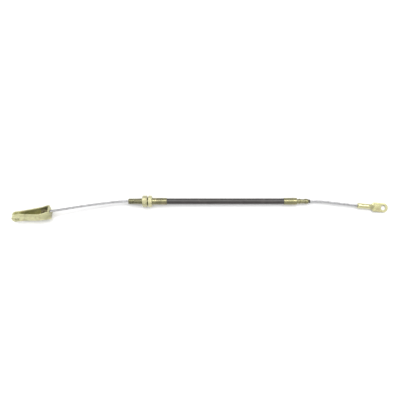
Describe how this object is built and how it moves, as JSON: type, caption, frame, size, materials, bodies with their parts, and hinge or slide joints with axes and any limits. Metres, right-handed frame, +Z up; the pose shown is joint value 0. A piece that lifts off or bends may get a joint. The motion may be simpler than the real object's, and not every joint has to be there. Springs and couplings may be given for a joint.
{
  "type": "brake cable",
  "caption": "Sliding steel wire in a jacketed conduit, with a threaded adjuster, lock nuts, an end ferrule, a folded clevis and a pressed eye.",
  "frame": {"origin": "under the middle of the cable's box, on the surface that it lies on", "axes": "+X along the cable from the clevis to the eye, +Z up from the surface"},
  "size_m": [0.6024, 0.0422, 0.0229],
  "materials": {
    "yellow_zinc_sheet": "folded steel sheet, yellow zinc plated",
    "yellow_zinc": "turned steel, yellow zinc plated",
    "pale_zinc": "steel, pale yellow zinc plated",
    "wire_steel": "bright stranded steel wire",
    "armour_steel": "wound steel wire",
    "jacket_plastic": "extruded, slightly glossy",
    "liner_plastic": "smooth extruded"
  },
  "bodies": {
    "conduit": {"adjuster": "yellow_zinc", "conduit_jacket": "jacket_plastic", "conduit_armour": "armour_steel", "conduit_liner": "liner_plastic", "end_ferrule": "yellow_zinc"},
    "wire": {"inner_wire": "wire_steel", "wire_button": "wire_steel", "eye_terminal": "pale_zinc"},
    "clevis": {"clevis": "yellow_zinc_sheet"},
    "outer_nut": {"lock_nut_outer": "pale_zinc"},
    "inner_nut": {"lock_nut_inner": "pale_zinc"}
  },
  "joints": [
    {"name": "wire_pull", "type": "slide", "parent": "conduit", "child": "wire", "axis": [1, 0, -0.0098], "range_m": [-0.015, 0.015]},
    {"name": "clevis_swivel", "type": "hinge", "parent": "wire", "child": "clevis", "pos_m": [-0.23951, -0.00378, 0.01333], "axis": [0.9917, 0.1288, 0], "continuous": true},
    {"name": "outer_nut_turn", "type": "hinge", "parent": "conduit", "child": "outer_nut", "pos_m": [-0.08911, 0.01187, 0.00811], "axis": [1, 0, -0.0098], "continuous": true},
    {"name": "inner_nut_turn", "type": "hinge", "parent": "conduit", "child": "inner_nut", "pos_m": [-0.08092, 0.01187, 0.00803], "axis": [1, 0, -0.0098], "continuous": true}
  ]
}
